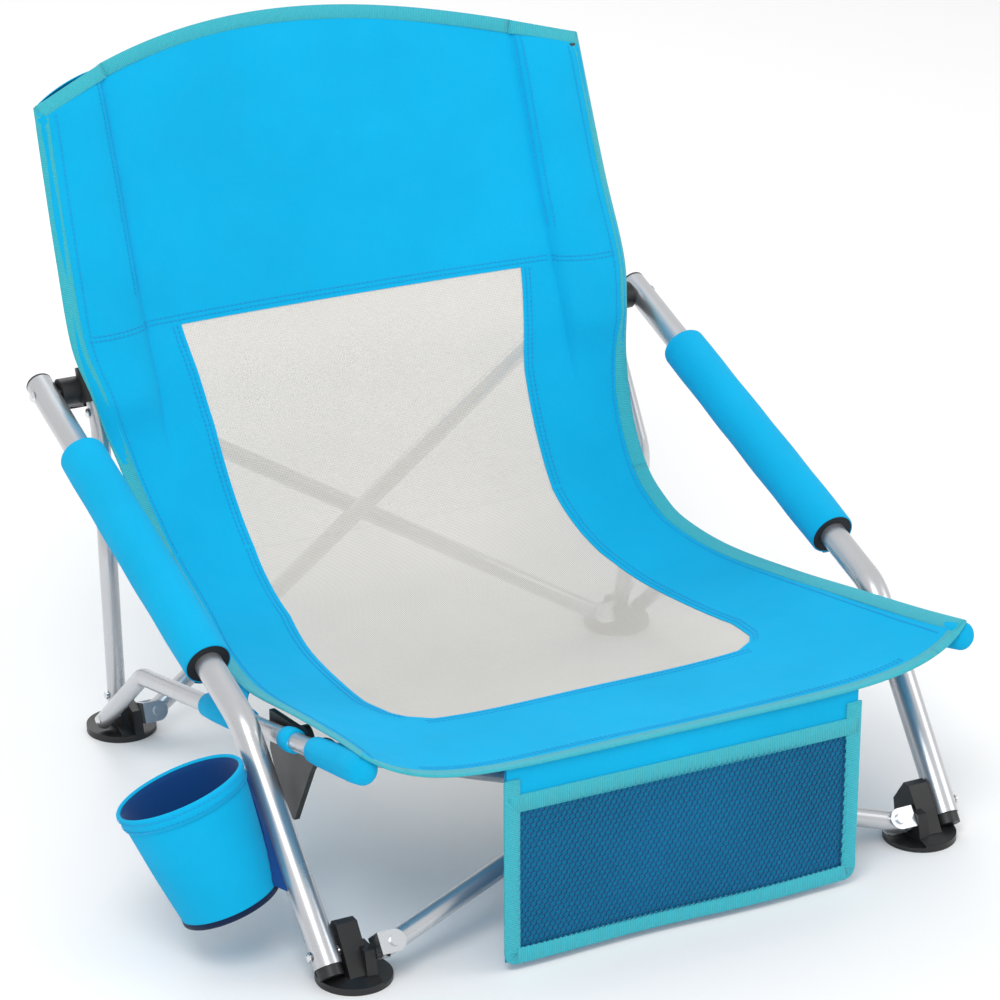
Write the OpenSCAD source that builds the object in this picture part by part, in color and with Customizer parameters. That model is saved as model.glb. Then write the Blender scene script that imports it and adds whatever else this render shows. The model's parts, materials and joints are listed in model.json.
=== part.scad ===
// Low folding camp chair: two side frames joined by a rear and a front scissor, with a fabric sling.
// X runs across the chair, -Y is the way the sitter faces, and +Z is up.
// Everything is laid out about the chair's middle plane, and then moved so that the origin is
// in the middle of the whole chair's footprint.

/* [Overall] */
// Lean of the back posts and of the rear scissor, in degrees from upright
back_lean = 20; // [18:0.5:21]
// Distance of each armrest tube from the middle plane
arm_x = 290; // [288:1:300]
// Distance of each back post from the middle plane
post_x = 250; // [249:0.5:251]
// Distance of each seat rail from the middle plane
rail_x = 266; // [265.5:0.5:267]

/* [Tubes] */
// Diameter of the armrest and front leg tube
arm_d = 23; // [21:0.5:23]
// Diameter of the back post
post_d = 16; // [15:0.5:16]
// Diameter of the seat rail
rail_d = 15; // [14:0.5:15]
// Diameter of the scissor tubes
scissor_d = 16; // [14:0.5:16]
// Wall thickness of every tube
tube_wall = 1.2; // [0.8:0.1:2]

/* [Feet] */
// Diameter of a foot at the floor
foot_d = 61; // [56:1:64]
// Height of the foot's straight rim
foot_rim_h = 6; // [4:0.5:7]

/* [Scissors] */
// Half of the distance between the rear scissor's lower pins
rear_pin_x = 226; // [225:0.5:227]
// Height of the rear scissor along its own plane, from lower to upper pins
rear_rise = 281; // [278:1:285]
// Half of the distance between the front scissor's lower pins
front_pin_x = 234; // [233:0.5:235]
// Diameter of the scissor pins
pin_d = 5; // [4:0.5:6]

/* [Fabric] */
// Thickness of the sling and pocket fabric as modelled
sling_t = 4; // [3:0.5:4]
// Half width of the sling at the headrest
sling_half_w = 258; // [250:1:262]
// Outer diameter of the padded arm sleeves
sleeve_d = 40; // [36:1:42]
// Radius of the cup holder's rim
cup_r = 52; // [44:1:52]
// Radius of the cup holder's base
cup_base_r = 40; // [34:1:42]
// Width of the storage pocket under the seat's front edge
pocket_w = 320; // [240:1:340]

/* [Hidden] */
$fn = 48;

silver = [0.74, 0.75, 0.77];
zinc = [0.8, 0.82, 0.84];
black = [0.08, 0.08, 0.09];
sky = [0.09, 0.69, 0.94];
joint_gap = 0.3;
// A bend is this much thicker than the straight tube, which runs this far into it
bend_swell = 0.06;
bend_lap = 0.6;

// Side view places, as [across, back, up]
tan_lean = tan(back_lean);
slider_z = 295;
slider_y = 172;
post_top_z = 525;
post_top = [post_x, slider_y + (post_top_z - slider_z) * tan_lean, post_top_z];
post_bend = [post_x, slider_y - 20 * tan_lean, slider_z - 20];
post_kink = [post_x + 12, 128, 172];
post_foot = [post_x + 2, 146, 28];
post_path = [post_top, post_bend, post_kink, post_foot];

arm_end = [arm_x, 199, 311];
arm_knee = [arm_x, -218, 170];
leg_foot = [arm_x - 8, -352, 16];
arm_path = [arm_end, arm_knee, leg_foot];
arm_dir = (arm_knee - arm_end) / norm(arm_knee - arm_end);
leg_dir = (leg_foot - arm_knee) / norm(leg_foot - arm_knee);
arm_pivot = arm_end + 14 * arm_dir;
sleeve_start = 98;
sleeve_l = 274;

rail_foot = [rail_x, 138, 18];
rail_bend = [rail_x, 49, 94];
rail_hub = [rail_x, -262, 166];
rail_dir = (rail_hub - rail_bend) / norm(rail_hub - rail_bend);
rail_front = rail_hub + 128 * rail_dir;
rail_stub = rail_foot - 8 * (rail_bend - rail_foot) / norm(rail_bend - rail_foot);
rail_path = [rail_stub, rail_bend, rail_front];

rear_foot_at = [248, 148, 0];
front_foot_at = [259, -349, 0];
rear_pin = [rear_pin_x, 133, 19.5];
front_pin = [front_pin_x, -357, 25];
front_hub_pin = [front_pin_x, -255, 150];
front_rise = norm(front_hub_pin - front_pin);
front_lean = atan((front_hub_pin[1] - front_pin[1]) / (front_hub_pin[2] - front_pin[2]));
cross_off = scissor_d / 2 + joint_gap;
knuckle_r = 10.5;
plate_t = 2;
fork_in = scissor_d / 2 + joint_gap;
fork_out = fork_in + plate_t;
rear_fork_back = 13;
front_fork_back = 13;
// The feet are cut down to this height under the forks
notch_z = 4;

// Sling, seen from the side as [back, up], on its rear and lower face
back_profile = [[266, 589], [243, 531], [180, 358], [157, 296], [134, 250], [108, 208], [85, 176]];
seat_profile = [[78, 171], [45, 152], [5, 140], [-45, 140], [-150, 160], [-300, 190], [-366, 203], [-393, 200]];

cup_top = [359, -251, 142];
cup_base = [329, -277, 47];
cup_dir = (cup_top - cup_base) / norm(cup_top - cup_base);
cup_wall = 2.5;

pocket_top_z = 196;
pocket_base_z = 6;
pocket_y = -392;

// The origin is in the middle of the footprint, at floor level
right_reach = arm_x + sleeve_d / 2;
left_reach = cup_top[0] + cup_r * sqrt(1 - cup_dir[0] * cup_dir[0]);
front_reach = pocket_y - 5;
back_reach = back_profile[0][0];
place_at = [(left_reach - right_reach) / 2, -(front_reach + back_reach) / 2, 0];

function unit(v) = v / norm(v);
function turn_angle(a, b) = acos(max(-1, min(1, a * b)));

module placed() { translate(place_at) children(); }
module on_left() { mirror([1, 0, 0]) children(); }

// Puts the children's Z axis along dir, at the point at
module aim(at, dir) {
    up = unit(dir);
    side = unit(abs(up[0]) > 0.9 ? cross([0, 1, 0], up) : cross([1, 0, 0], up));
    front = cross(up, side);
    multmatrix([
        [side[0], front[0], up[0], at[0]],
        [side[1], front[1], up[1], at[1]],
        [side[2], front[2], up[2], at[2]],
        [0, 0, 0, 1]
    ]) children();
}

module rod(from, to, r, bore = 0) {
    aim(from, to - from) difference() {
        cylinder(h = norm(to - from), r = r);
        if (bore > 0) translate([0, 0, -1]) cylinder(h = norm(to - from) + 2, r = bore);
    }
}

// One quarter or less of a ring, from tangent to tangent round a corner
module elbow(corner, dir_in, dir_out, bend_r, r, bore = 0) {
    angle = turn_angle(dir_in, dir_out);
    centre = corner + unit(dir_out - dir_in) * bend_r / cos(angle / 2);
    start = corner - dir_in * bend_r * tan(angle / 2);
    e1 = (start - centre) / bend_r;
    n = cross(e1, dir_in);
    multmatrix([
        [e1[0], dir_in[0], n[0], centre[0]],
        [e1[1], dir_in[1], n[1], centre[1]],
        [e1[2], dir_in[2], n[2], centre[2]],
        [0, 0, 0, 1]
    ]) rotate_extrude(angle = angle) translate([bend_r, 0]) difference() {
        circle(r);
        if (bore > 0) circle(bore);
    }
}

// A round bar or tube along a list of corners, with every corner bent to bend_r
module bent_bar(path, bend_r, r, bore = 0) {
    last = len(path) - 1;
    dirs = [for (i = [0:last - 1]) unit(path[i + 1] - path[i])];
    trims = [for (i = [0:last])
        i == 0 || i == last ? 0 : bend_r * tan(turn_angle(dirs[i - 1], dirs[i]) / 2)];
    for (i = [0:last - 1]) {
        from = path[i] + dirs[i] * (trims[i] - (i == 0 ? 0 : bend_lap));
        to = path[i + 1] - dirs[i] * (trims[i + 1] - (i == last - 1 ? 0 : bend_lap));
        rod(from, to, r, bore);
    }
    for (i = [1:last - 1]) {
        elbow(path[i], dirs[i - 1], dirs[i], bend_r, r + bend_swell, bore == 0 ? 0 : bore - bend_swell);
    }
}

module bent_tube(path, bend_r, d) { bent_bar(path, bend_r, d / 2, d / 2 - tube_wall); }

// A screw with a domed head at each end of a shank that runs across the chair
module cross_bolt(at, length, d, head_d) {
    translate(at) rotate([0, 90, 0]) {
        cylinder(h = length, d = d, center = true);
        for (end = [-1, 1]) {
            translate([0, 0, end * (length / 2 + 0.8)]) cylinder(h = 1.6, d = head_d, center = true);
        }
        translate([0, 0, length / 2 + 1.6]) cylinder(h = 1.2, d1 = head_d, d2 = head_d * 0.5);
    }
}

// Frames of the two scissor planes: X across, Y through the plane, Z up the plane
module rear_plane() { translate([0, rear_pin[1], rear_pin[2]]) rotate([-back_lean, 0, 0]) children(); }
module front_plane() { translate([0, front_pin[1], front_pin[2]]) rotate([-front_lean, 0, 0]) children(); }

module post() {
    color(silver) difference() {
        bent_tube(post_path, 60, post_d);
        translate([post_x - 20, slider_y - 5 * tan_lean, slider_z - 5]) rotate([0, 90, 0]) cylinder(h = 40, d = 4);
        translate([post_foot[0] - 20, post_foot[1] - 1, post_foot[2] + 8]) rotate([0, 90, 0]) cylinder(h = 40, d = 4);
    }
}
module left_post() { placed() on_left() post(); }
module right_post() { placed() post(); }

module post_cap() {
    up = unit(post_top - post_bend);
    color(black) {
        rod(post_top, post_top + 3 * up, post_d / 2);
        rod(post_top - 10 * up, post_top + up, post_d / 2 - tube_wall - 0.05);
    }
}
module left_post_cap() { placed() on_left() post_cap(); }
module right_post_cap() { placed() post_cap(); }

// A round foot with a stepped cone and an inner wedge for the scissor's bracket
module foot_base(cone_h) {
    cylinder(h = foot_rim_h, d = foot_d);
    translate([0, 0, foot_rim_h]) cylinder(h = cone_h, d1 = foot_d - 2, d2 = foot_d * 0.62);
}

module wedge(size_x, points) {
    translate([-size_x / 2, 0, 0]) rotate([90, 0, 90]) linear_extrude(size_x) polygon(points);
}

module rear_foot() {
    peg_r = post_d / 2 - tube_wall - 0.1;
    post_up = unit(post_kink - post_foot);
    color(black) difference() {
        union() {
            translate(rear_foot_at) difference() {
                foot_base(3.5);
                translate([10, -60, foot_rim_h]) cube([40, 120, 40]);
                translate([rear_pin_x + rear_fork_back - rear_foot_at[0] - 60, -60, notch_z]) cube([60, 120, 40]);
            }
            translate([post_foot[0] - 4, 148, 0]) wedge(10, [[-24, 4], [20, 4], [14, 24], [2, 26], [-8, 24]]);
            rod(post_foot - 8 * post_up, post_foot, post_d / 2 - 1);
            rod(post_foot, post_foot + 26 * post_up, peg_r);
            translate([rear_pin_x + rear_fork_back + 4, 133, 4]) wedge(8, [[-16, 0], [16, 0], [10, 26], [-10, 22]]);
        }
        translate([post_foot[0] - 20, post_foot[1] - 1, post_foot[2] + 8]) rotate([0, 90, 0]) cylinder(h = 40, d = 4);
        translate([rail_foot[0] - 40, rail_foot[1], rail_foot[2]]) rotate([0, 90, 0]) cylinder(h = 60, d = 4.2);
    }
}
module left_rear_foot() { placed() on_left() rear_foot(); }
module right_rear_foot() { placed() rear_foot(); }

module front_foot() {
    peg_r = arm_d / 2 - tube_wall - 0.1;
    color(black) difference() {
        union() {
            translate(front_foot_at) difference() {
                foot_base(3);
                translate([front_pin_x + front_fork_back - front_foot_at[0] - 59.7, -60, notch_z]) cube([60, 120, 40]);
            }
            translate([front_foot_at[0] + 2, -349, 0])
                wedge(18, [[-20, 4], [26, 4], [30, 24], [16, 44], [8, 44], [-6, 26]]);
            rod(leg_foot + leg_dir * 9, leg_foot - leg_dir * 30, peg_r);
            translate([front_pin_x + 17.8, -357, 4]) wedge(9, [[-12, 0], [16, 0], [14, 24], [-6, 24]]);
        }
        translate([leg_foot[0] - 40, leg_foot[1] + 7, leg_foot[2] + 8]) rotate([0, 90, 0]) {
            cylinder(h = 60, d = 4.4);
            translate([0, 0, 17]) cylinder(h = 13, d = 9.4);
        }
    }
}
module left_front_foot() { placed() on_left() front_foot(); }
module right_front_foot() { placed() front_foot(); }

// A folded plate fork round a scissor tube's lower end, in the scissor's plane
module fork(pin_x, back, off) {
    hole_d = pin_d + 0.1;
    translate([pin_x, off, 0]) difference() {
        union() {
            for (side = [-1, 1]) {
                translate([0, side * (fork_in + plate_t / 2), 0]) rotate([90, 0, 0]) {
                    cylinder(h = plate_t, r = 9, center = true);
                    translate([0, -9, -plate_t / 2]) cube([back, 18, plate_t]);
                }
            }
            translate([back - plate_t, -fork_out, -9]) cube([plate_t, 2 * fork_out, 18]);
        }
        rotate([90, 0, 0]) cylinder(h = 40, d = hole_d, center = true);
    }
    translate([pin_x, off, 0]) rotate([90, 0, 0]) {
        cylinder(h = 2 * fork_out + 1, d = pin_d, center = true);
        for (side = [-1, 1]) {
            translate([0, 0, side * (fork_out + 1)]) cylinder(h = 2, d = pin_d + 4, center = true);
        }
    }
}
module left_rear_bracket() {
    color(zinc) placed() rear_plane() mirror([1, 0, 0]) fork(rear_pin_x, rear_fork_back, -cross_off);
}
module right_rear_bracket() {
    color(zinc) placed() rear_plane() fork(rear_pin_x, rear_fork_back, cross_off);
}
module left_front_bracket() {
    color(zinc) placed() front_plane() mirror([1, 0, 0]) fork(front_pin_x, front_fork_back, -cross_off);
}
module right_front_bracket() {
    color(zinc) placed() front_plane() fork(front_pin_x, front_fork_back, cross_off);
}

// A straight scissor tube in its plane, from its lower pin up to its upper end
module cross_tube(pin_x, rise, off, lower_side, top_cut = -7) {
    low = [lower_side * pin_x, off, 0];
    high = [-lower_side * pin_x, off, rise];
    dir = unit(high - low);
    color(silver) difference() {
        rod(low - 7 * dir, high - top_cut * dir, scissor_d / 2);
        rod(low - 8 * dir, high + 8 * dir, scissor_d / 2 - tube_wall);
        for (at = [low, high]) {
            translate(at) rotate([90, 0, 0]) cylinder(h = 30, d = pin_d + 0.1, center = true);
        }
        translate([0, 0, rise / 2]) rotate([90, 0, 0]) cylinder(h = 60, d = pin_d + 0.1, center = true);
    }
}
module rivet_head(at_y) { translate([0, 0, at_y]) cylinder(h = 1.6, d = pin_d + 5, center = true); }
module cross_rivet(rise) {
    reach = cross_off + scissor_d / 2;
    color(zinc) translate([0, 0, rise / 2]) rotate([90, 0, 0]) {
        cylinder(h = 2 * reach + 2, d = pin_d, center = true);
        for (side = [-1, 1]) {
            rivet_head(side * (reach + 1));
        }
    }
}
// Half of the front scissor's rivet: it goes through one tube only
module half_rivet(rise, side) {
    reach = cross_off + scissor_d / 2;
    color(zinc) translate([0, 0, rise / 2]) rotate([90, 0, 0]) mirror([0, 0, side > 0 ? 1 : 0]) {
        translate([0, 0, joint_gap]) cylinder(h = reach + 0.7, d = pin_d);
        rivet_head(reach + 1);
    }
}
module rear_cross_tube_a() { placed() rear_plane() cross_tube(rear_pin_x, rear_rise, -cross_off, -1); }
module rear_cross_tube_b() { placed() rear_plane() cross_tube(rear_pin_x, rear_rise, cross_off, 1); }
module rear_cross_rivet() { placed() rear_plane() cross_rivet(rear_rise); }
module front_cross_tube_a() { placed() front_plane() cross_tube(front_pin_x, front_rise, -cross_off, -1, knuckle_r - 1); }
module front_cross_tube_b() { placed() front_plane() cross_tube(front_pin_x, front_rise, cross_off, 1, knuckle_r - 1); }
module front_rivet_a() { placed() front_plane() half_rivet(front_rise, -1); }
module front_rivet_b() { placed() front_plane() half_rivet(front_rise, 1); }

// The block that slides on the post and carries the armrest and the upper end of one scissor tube
module slider(off) {
    // Places in the frame of the rear scissor's plane
    bore_y = -(rear_pin[1] + (slider_z - rear_pin[2]) * tan_lean - slider_y) * cos(back_lean);
    low_z = (slider_z + 4 - rear_pin[2]) / cos(back_lean) + bore_y * tan_lean;
    boss_r = 12;
    color(black) difference() {
        union() {
            rear_plane() {
                translate([post_x, bore_y, low_z]) cylinder(h = 30, r = 13);
                translate([post_x - 11, bore_y + 9, rear_rise - 8]) cube([19, off + fork_in - bore_y - 5, 20]);
                for (side = [-1, 1]) {
                    translate([rear_pin_x, off + side * (fork_in + 2.5), rear_rise]) rotate([90, 0, 0]) {
                        cylinder(h = 5, r = 11, center = true);
                        translate([0, -10, -2.5]) cube([post_x + 5 - rear_pin_x, 20, 5]);
                    }
                }
            }
            translate([post_x, arm_pivot[1], arm_pivot[2]]) rotate([0, 90, 0])
                cylinder(h = arm_x - arm_d / 2 - post_x - joint_gap, r = boss_r);
        }
        rear_plane() {
            translate([post_x, bore_y, low_z - 60]) cylinder(h = 150, r = post_d / 2 + joint_gap);
            translate([rear_pin_x, off, rear_rise]) rotate([90, 0, 0]) cylinder(h = 60, d = pin_d + 0.1, center = true);
            translate([rear_pin_x - 30, off - fork_in, rear_rise - 40]) cube([41.5, 2 * fork_in, 80]);
        }
        translate([post_x + 12, arm_pivot[1], arm_pivot[2]]) rotate([0, 90, 0]) cylinder(h = 60, d = 6.1);
    }
}
module left_slider() { placed() on_left() slider(cross_off); }
module right_slider() { placed() slider(-cross_off); }

module slider_pin(off) {
    color(zinc) rear_plane() translate([rear_pin_x, off, rear_rise]) rotate([90, 0, 0]) {
        cylinder(h = 2 * fork_in + 12, d = pin_d, center = true);
        for (side = [-1, 1]) {
            translate([0, 0, side * (fork_in + 6)]) cylinder(h = 2, d = pin_d + 4, center = true);
        }
    }
}
module left_slider_pin() { placed() on_left() slider_pin(cross_off); }
module right_slider_pin() { placed() slider_pin(-cross_off); }

module stop_bolt() {
    color(zinc) cross_bolt([post_x, slider_y - 5 * tan_lean, slider_z - 5], post_d, 3.9, 8);
}
module left_stop_bolt() { placed() on_left() stop_bolt(); }
module right_stop_bolt() { placed() stop_bolt(); }

module post_bolt() {
    color(zinc) cross_bolt([post_foot[0] + 0.5, post_foot[1] - 1, post_foot[2] + 8], post_d + 1.6, 3.9, 7);
}
module left_post_bolt() { placed() on_left() post_bolt(); }
module right_post_bolt() { placed() post_bolt(); }

module arm_tube() {
    color(silver) difference() {
        bent_tube(arm_path, 50, arm_d);
        translate([arm_x - 30, arm_pivot[1], arm_pivot[2]]) rotate([0, 90, 0]) cylinder(h = 60, d = 6);
        translate([leg_foot[0] - 30, leg_foot[1] + 7, leg_foot[2] + 8]) rotate([0, 90, 0]) cylinder(h = 60, d = 4.2);
    }
}
module left_arm_tube() { placed() on_left() arm_tube(); }
module right_arm_tube() { placed() arm_tube(); }

module arm_cap() {
    color(black) {
        rod(arm_end - 2 * arm_dir, arm_end, arm_d / 2);
        rod(arm_end - arm_dir, arm_end + 6 * arm_dir, arm_d / 2 - tube_wall - 0.05);
    }
}
module left_arm_cap() { placed() on_left() arm_cap(); }
module right_arm_cap() { placed() arm_cap(); }

module ring_along(start, length, r_out, r_in) {
    aim(arm_end + arm_dir * start, arm_dir) difference() {
        cylinder(h = length, r = r_out);
        translate([0, 0, -1]) cylinder(h = length + 2, r = r_in);
    }
}
module arm_foam() { color(black) ring_along(sleeve_start + 1.5, sleeve_l - 3, sleeve_d / 2 - 1.6, arm_d / 2 + 0.05); }
module arm_sleeve() { color(sky) ring_along(sleeve_start, sleeve_l, sleeve_d / 2, sleeve_d / 2 - 1.5); }
module left_arm_foam() { placed() on_left() arm_foam(); }
module right_arm_foam() { placed() arm_foam(); }
module left_arm_sleeve() { placed() on_left() arm_sleeve(); }
module right_arm_sleeve() { placed() arm_sleeve(); }

module arm_bolt() {
    inner = post_x + 14;
    outer = arm_x + arm_d / 2;
    color(zinc) translate([inner, arm_pivot[1], arm_pivot[2]]) rotate([0, 90, 0]) {
        cylinder(h = outer - inner, d = 5.8);
        translate([0, 0, outer - inner]) cylinder(h = 2.5, d1 = 10, d2 = 6);
    }
}
module left_arm_bolt() { placed() on_left() arm_bolt(); }
module right_arm_bolt() { placed() arm_bolt(); }

module leg_bolt() {
    color(zinc) cross_bolt([leg_foot[0] + 0.4, leg_foot[1] + 7, leg_foot[2] + 8], arm_d + 1.6, 3.9, 8);
}
module left_leg_bolt() { placed() on_left() leg_bolt(); }
module right_leg_bolt() { placed() leg_bolt(); }

module rail() {
    color(silver) difference() {
        bent_tube(rail_path, 26, rail_d);
        for (at = [rail_foot, rail_hub]) {
            translate([rail_x - 20, at[1], at[2]]) rotate([0, 90, 0]) cylinder(h = 40, d = 4.2);
        }
    }
}
module left_rail() { placed() on_left() rail(); }
module right_rail() { placed() rail(); }

// The pivot bolt through the rail and the rear foot
module rail_bolt() {
    inner = 243;
    outer = rail_x + rail_d / 2;
    color(zinc) translate([inner, rail_foot[1], rail_foot[2]]) rotate([0, 90, 0]) {
        cylinder(h = outer - inner, d = 4.1);
        translate([0, 0, outer - inner]) cylinder(h = 2, d1 = 8, d2 = 5);
    }
}
module left_rail_bolt() { placed() on_left() rail_bolt(); }
module right_rail_bolt() { placed() rail_bolt(); }

// The black plate on the rail's inner side that the front scissor's upper end bears on
hub_t = 4.5;
hub_plate_x = rail_x - rail_d / 2 - joint_gap - 0.5 - hub_t;
module hub() {
    color(black) difference() {
        union() {
            translate([hub_plate_x, 0, 0]) rotate([90, 0, 90]) linear_extrude(hub_t) polygon([
                [-196, 164], [-196, 130], [-222, 84], [-240, 86], [-272, 142], [-284, 158], [-280, 168], [-262, 172]
            ]);
            translate([hub_plate_x, rail_hub[1], rail_hub[2]]) rotate([0, 90, 0]) cylinder(h = hub_t + 0.5, r = 11);
        }
        translate([hub_plate_x - 5, rail_hub[1], rail_hub[2]]) rotate([0, 90, 0]) cylinder(h = 30, d = 4.2);
    }
}
module left_hub() { placed() on_left() hub(); }
module right_hub() { placed() hub(); }

// The bolt that holds the hub to the rail
module hub_bolt() {
    inner = hub_plate_x - 1;
    outer = rail_x + rail_d / 2;
    color(zinc) translate([inner, rail_hub[1], rail_hub[2]]) rotate([0, 90, 0]) {
        cylinder(h = outer - inner, d = 4.1);
        translate([0, 0, outer - inner]) cylinder(h = 2, d1 = 9, d2 = 5);
    }
}
module left_hub_bolt() { placed() on_left() hub_bolt(); }
module right_hub_bolt() { placed() hub_bolt(); }

// The ball-shaped end piece on a front scissor tube's upper end
module knuckle(side, off) {
    low = [-side * front_pin_x, off, 0];
    high = [side * front_pin_x, off, front_rise];
    dir = unit(high - low);
    color(black) front_plane() aim(high, -dir) rotate_extrude() {
        intersection() {
            circle(knuckle_r);
            translate([0, -knuckle_r]) square([knuckle_r, 2 * knuckle_r]);
        }
        square([scissor_d / 2 - tube_wall - 0.05, 22]);
    }
}
module left_knuckle() { placed() knuckle(-1, cross_off); }
module right_knuckle() { placed() knuckle(1, -cross_off); }

// A sheet of the sling: its side view with a thickness, stretched across the chair
function thicken(points, t) = concat(points, [for (i = [len(points) - 1:-1:0])
    let (a = points[max(0, i - 1)], b = points[min(len(points) - 1, i + 1)], d = unit(b - a))
    points[i] + t * [-d[1], d[0]]]);
module sheet(profile, half_w) {
    translate([-half_w, 0, 0]) rotate([90, 0, 90]) linear_extrude(2 * half_w) polygon(thicken(profile, -sling_t));
}

module back_sling() {
    arch_r = 620;
    color(sky) placed() intersection() {
        sheet(back_profile, sling_half_w);
        translate([0, 400, 588 - arch_r]) rotate([90, 0, 0]) cylinder(h = 800, r = arch_r, $fn = 180);
    }
}

module seat_sling() { color(sky) placed() sheet(seat_profile, sling_half_w - 8); }

module storage_pocket() {
    h = pocket_top_z - pocket_base_z;
    corner = 22;
    color(sky) placed() translate([6, pocket_y, 0]) rotate([90, 0, 0]) linear_extrude(5) {
        translate([-pocket_w / 2, pocket_base_z + corner]) square([pocket_w, h - corner]);
        translate([-pocket_w / 2 + corner, pocket_base_z]) square([pocket_w - 2 * corner, corner + 1]);
        for (side = [-1, 1]) {
            translate([side * (pocket_w / 2 - corner), pocket_base_z + corner]) circle(corner);
        }
    }
}

// The open bucket that hangs on the outside of the left front leg
module cup_holder() {
    depth = norm(cup_top - cup_base);
    color(sky) placed() on_left() aim(cup_base, cup_top - cup_base) difference() {
        cylinder(h = depth, r1 = cup_base_r, r2 = cup_r);
        translate([0, 0, 3]) cylinder(h = depth, r1 = cup_base_r - cup_wall, r2 = cup_r - cup_wall);
    }
}

// The band that ties the cup holder to the leg
module cup_strap() {
    at = arm_knee + leg_dir * 62;
    color(black) placed() on_left() aim(at, leg_dir) difference() {
        cylinder(h = 22, r = arm_d / 2 + 1.4);
        translate([0, 0, -1]) cylinder(h = 24, r = arm_d / 2 + 0.05);
    }
}

left_post();
right_post();
left_post_cap();
right_post_cap();
left_rear_foot();
right_rear_foot();
left_front_foot();
right_front_foot();
left_rear_bracket();
right_rear_bracket();
left_front_bracket();
right_front_bracket();
rear_cross_tube_a();
rear_cross_tube_b();
rear_cross_rivet();
front_cross_tube_a();
front_cross_tube_b();
front_rivet_a();
front_rivet_b();
left_slider();
right_slider();
left_stop_bolt();
right_stop_bolt();
left_slider_pin();
right_slider_pin();
left_arm_tube();
right_arm_tube();
left_arm_cap();
right_arm_cap();
left_arm_foam();
right_arm_foam();
left_arm_sleeve();
right_arm_sleeve();
left_arm_bolt();
right_arm_bolt();
left_leg_bolt();
right_leg_bolt();
left_rail();
right_rail();
left_rail_bolt();
right_rail_bolt();
left_hub();
right_hub();
left_hub_bolt();
right_hub_bolt();
left_knuckle();
right_knuckle();
left_post_bolt();
right_post_bolt();
back_sling();
seat_sling();
storage_pocket();
cup_holder();
cup_strap();
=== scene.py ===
import json
import math
import bpy
import numpy as np
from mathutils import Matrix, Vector


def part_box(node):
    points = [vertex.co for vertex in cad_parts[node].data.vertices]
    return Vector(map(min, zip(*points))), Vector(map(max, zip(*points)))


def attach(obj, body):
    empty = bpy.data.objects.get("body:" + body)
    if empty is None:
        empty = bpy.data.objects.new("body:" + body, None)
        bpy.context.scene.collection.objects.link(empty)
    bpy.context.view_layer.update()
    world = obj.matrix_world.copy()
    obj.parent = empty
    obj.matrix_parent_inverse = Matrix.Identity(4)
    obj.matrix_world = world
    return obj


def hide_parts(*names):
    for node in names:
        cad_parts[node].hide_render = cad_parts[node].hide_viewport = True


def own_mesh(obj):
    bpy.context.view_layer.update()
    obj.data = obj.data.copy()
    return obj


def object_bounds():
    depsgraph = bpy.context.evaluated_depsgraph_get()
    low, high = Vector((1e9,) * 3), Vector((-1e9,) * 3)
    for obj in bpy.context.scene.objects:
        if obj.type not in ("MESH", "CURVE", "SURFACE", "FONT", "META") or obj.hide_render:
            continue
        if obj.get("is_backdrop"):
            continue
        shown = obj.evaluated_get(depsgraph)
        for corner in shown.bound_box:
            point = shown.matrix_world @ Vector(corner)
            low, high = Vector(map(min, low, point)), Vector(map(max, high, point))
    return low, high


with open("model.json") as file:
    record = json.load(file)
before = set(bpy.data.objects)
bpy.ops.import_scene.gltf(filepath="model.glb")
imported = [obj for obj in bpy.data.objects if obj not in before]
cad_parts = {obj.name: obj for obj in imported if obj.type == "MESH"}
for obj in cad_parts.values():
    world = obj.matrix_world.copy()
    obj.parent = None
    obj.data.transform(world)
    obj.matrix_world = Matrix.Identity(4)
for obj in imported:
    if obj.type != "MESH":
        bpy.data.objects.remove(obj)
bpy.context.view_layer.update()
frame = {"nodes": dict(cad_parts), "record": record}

# ---------------------------------------------------------------- placement
# The chair is laid out about its own middle plane, in millimetres, and SHIFT puts it in the row frame.
POCKET_REACH = 397.0
post_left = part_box("left_post")[0][0]
post_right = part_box("right_post")[1][0]
pocket_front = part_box("storage_pocket")[0][1]
SHIFT = np.array([(post_left + post_right) * 500, pocket_front * 1000 + POCKET_REACH, 0.0])


def place(p):
    return (np.asarray(p, float) + SHIFT) / 1000


def unit(v):
    v = np.asarray(v, float)
    return v / max(np.linalg.norm(v), 1e-12)


# ---------------------------------------------------------------- camera and light
scene = bpy.context.scene
cam_data = bpy.data.cameras.new("camera")
cam = bpy.data.objects.new("camera", cam_data)
scene.collection.objects.link(cam)
cam_data.lens = 141.4
cam_data.sensor_width = 36.0
cam_data.clip_end = 50
cam.location = (-1.389 + SHIFT[0] / 1000, -2.771 + SHIFT[1] / 1000, 1.483)
cam.rotation_euler = Vector((0.4267, 0.8222, -0.3766)).to_track_quat("-Z", "Y").to_euler()
scene.camera = cam
scene.view_settings.view_transform = "Standard"

world = bpy.data.worlds.new("studio")
scene.world = world
world.use_nodes = True
world.node_tree.nodes["Background"].inputs["Color"].default_value = (1, 1, 1, 1)
world.node_tree.nodes["Background"].inputs["Strength"].default_value = 0.85


def area_light(name, at, target, size, power):
    data = bpy.data.lights.new(name, "AREA")
    data.shape = "DISK"
    data.size = size
    data.energy = power
    obj = bpy.data.objects.new(name, data)
    scene.collection.objects.link(obj)
    obj.location = at
    obj.rotation_euler = (Vector(target) - Vector(at)).to_track_quat("-Z", "Y").to_euler()


area_light("key", (-1.2, -1.6, 2.6), (0, 0, 0.2), 1.4, 34)
area_light("fill", (2.4, -1.6, 1.6), (0, 0, 0.25), 1.6, 14)
area_light("rim", (0.4, 2.4, 2.2), (0, 0, 0.3), 1.4, 16)


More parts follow.
